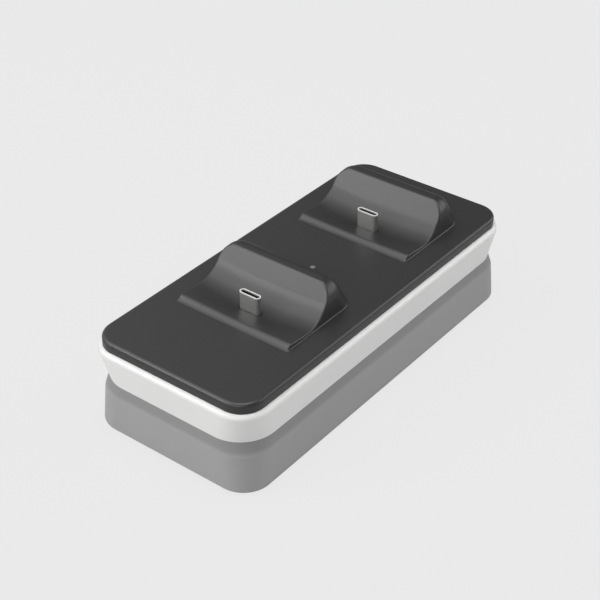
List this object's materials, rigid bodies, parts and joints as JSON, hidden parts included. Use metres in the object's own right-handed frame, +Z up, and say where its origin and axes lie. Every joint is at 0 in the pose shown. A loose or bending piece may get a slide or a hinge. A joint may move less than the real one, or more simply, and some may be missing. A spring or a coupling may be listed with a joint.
{
  "type": "controller charging dock",
  "caption": "Desktop charging dock for game controllers: rounded slab case with scooped cradles in line, each round an upright USB-C plug, on a flared base.",
  "frame": {"origin": "on the floor under the middle of the case, at the underside of the feet", "axes": "+Z up, +Y along the dock's length from the front lip to the power inlet, +X to the right"},
  "size_m": [0.0672, 0.149, 0.0464],
  "materials": {
    "charcoal_plastic": "satin charcoal moulding, fine spark texture",
    "white_plastic": "smooth white moulding",
    "grey_plastic": "matte mid-grey moulding",
    "foot_rubber": "matte black",
    "board_laminate": "green solder mask",
    "chip_resin": "matte black resin",
    "capacitor_can": "bright can",
    "led_resin": "clear resin over a white package",
    "clear_plastic": "frosted clear rod",
    "plug_steel": "drawn stainless shell, bright lip",
    "black_nylon": "matte black",
    "gilt_contact": "gilt",
    "screw_steel": "zinc plated",
    "red_insulation": "red",
    "black_insulation": "black"
  },
  "bodies": {
    "root": {"top_cover": "charcoal_plastic", "trim_band": "white_plastic", "base_housing": "grey_plastic", "foot_front_left": "foot_rubber", "foot_front_right": "foot_rubber", "foot_rear_left": "foot_rubber", "foot_rear_right": "foot_rubber", "main_board": "board_laminate", "front_plug_board": "board_laminate", "rear_plug_board": "board_laminate", "front_charge_chip": "chip_resin", "rear_charge_chip": "chip_resin", "front_capacitor": "capacitor_can", "rear_capacitor": "capacitor_can", "status_led": "led_resin", "light_pipe": "clear_plastic", "inlet_shell": "plug_steel", "front_plug_shell": "plug_steel", "rear_plug_shell": "plug_steel", "inlet_tongue": "black_nylon", "front_plug_core": "black_nylon", "rear_plug_core": "black_nylon", "front_plug_carrier": "black_nylon", "rear_plug_carrier": "black_nylon", "inlet_contacts": "gilt_contact", "front_plug_contacts": "gilt_contact", "rear_plug_contacts": "gilt_contact", "case_screws": "screw_steel", "board_screws": "screw_steel", "carrier_screws": "screw_steel", "front_red_lead": "red_insulation", "rear_red_lead": "red_insulation", "front_black_lead": "black_insulation", "rear_black_lead": "black_insulation"}
  },
  "joints": []
}
